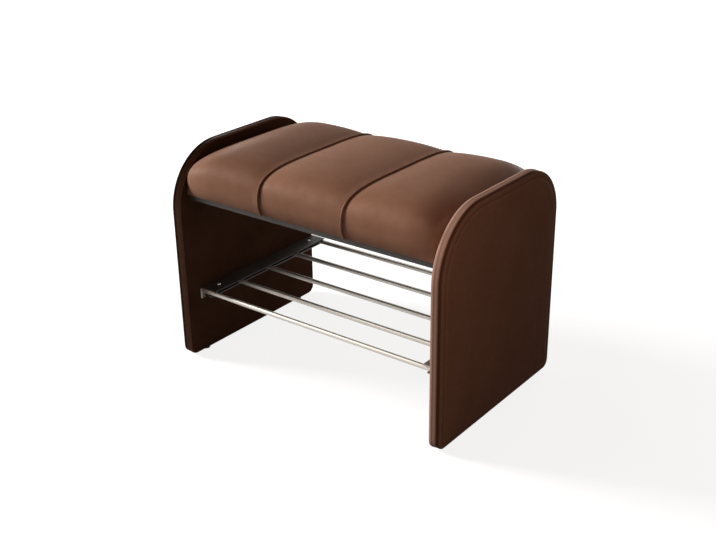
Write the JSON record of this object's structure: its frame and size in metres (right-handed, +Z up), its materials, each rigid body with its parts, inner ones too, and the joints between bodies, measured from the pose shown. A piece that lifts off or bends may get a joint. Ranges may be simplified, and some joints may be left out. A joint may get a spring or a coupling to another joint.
{
  "type": "shoe bench",
  "caption": "Upholstered shoe bench: rounded padded side panels carry a crowned leather seat with piped seams above an open rack of bright steel tubes for shoes.",
  "frame": {"origin": "on the floor under the middle of the bench", "axes": "+X along the bench to its right-hand end, +Y to the back, +Z up"},
  "size_m": [0.65, 0.402, 0.45],
  "materials": {
    "leather": "smooth semi-matt brown",
    "lining": "smooth matt dark brown",
    "foam": "open-cell upholstery foam",
    "plywood": "raw plywood",
    "non_woven": "black non-woven sheet",
    "gunmetal": "satin gunmetal coating",
    "bright_steel": "bright plated",
    "zinc": "zinc plated",
    "nylon": "moulded black nylon"
  },
  "bodies": {
    "root": {"side_core_left": "plywood", "side_core_right": "plywood", "side_lining_left": "lining", "side_lining_right": "lining", "side_edge_band_left": "leather", "side_edge_band_right": "leather", "side_foam_left": "foam", "side_foam_right": "foam", "side_cover_left": "leather", "side_cover_right": "leather", "floor_glide_left_front": "nylon", "floor_glide_left_rear": "nylon", "floor_glide_right_front": "nylon", "floor_glide_right_rear": "nylon", "seat_board_left": "plywood", "seat_board_centre": "plywood", "seat_board_right": "plywood", "seat_foam_left": "foam", "seat_foam_centre": "foam", "seat_foam_right": "foam", "seat_cover_left": "leather", "seat_cover_centre": "leather", "seat_cover_right": "leather", "seat_piping_left": "leather", "seat_piping_right": "leather", "seat_dust_cover": "non_woven", "seat_screw_left_front": "zinc", "seat_screw_left_rear": "zinc", "seat_screw_centre_front": "zinc", "seat_screw_centre_rear": "zinc", "seat_screw_right_front": "zinc", "seat_screw_right_rear": "zinc", "seat_front_rail": "gunmetal", "seat_rear_rail": "gunmetal", "seat_end_rail_left": "gunmetal", "seat_end_rail_right": "gunmetal", "seat_cross_rail_left": "gunmetal", "seat_cross_rail_right": "gunmetal", "frame_screw_left_front": "zinc", "frame_screw_left_rear": "zinc", "frame_screw_right_front": "zinc", "frame_screw_right_rear": "zinc", "shelf_bracket_left": "gunmetal", "shelf_bracket_right": "gunmetal", "shelf_clamp_left": "gunmetal", "shelf_clamp_right": "gunmetal", "shelf_tube_1": "bright_steel", "shelf_tube_2": "bright_steel", "shelf_tube_3": "bright_steel", "shelf_tube_4": "bright_steel", "shelf_tube_5": "bright_steel", "clamp_screw_left_front": "bright_steel", "clamp_screw_left_rear": "bright_steel", "clamp_screw_right_front": "bright_steel", "clamp_screw_right_rear": "bright_steel", "bracket_screw_left_front": "zinc", "bracket_screw_left_rear": "zinc", "bracket_screw_right_front": "zinc", "bracket_screw_right_rear": "zinc"}
  },
  "joints": []
}
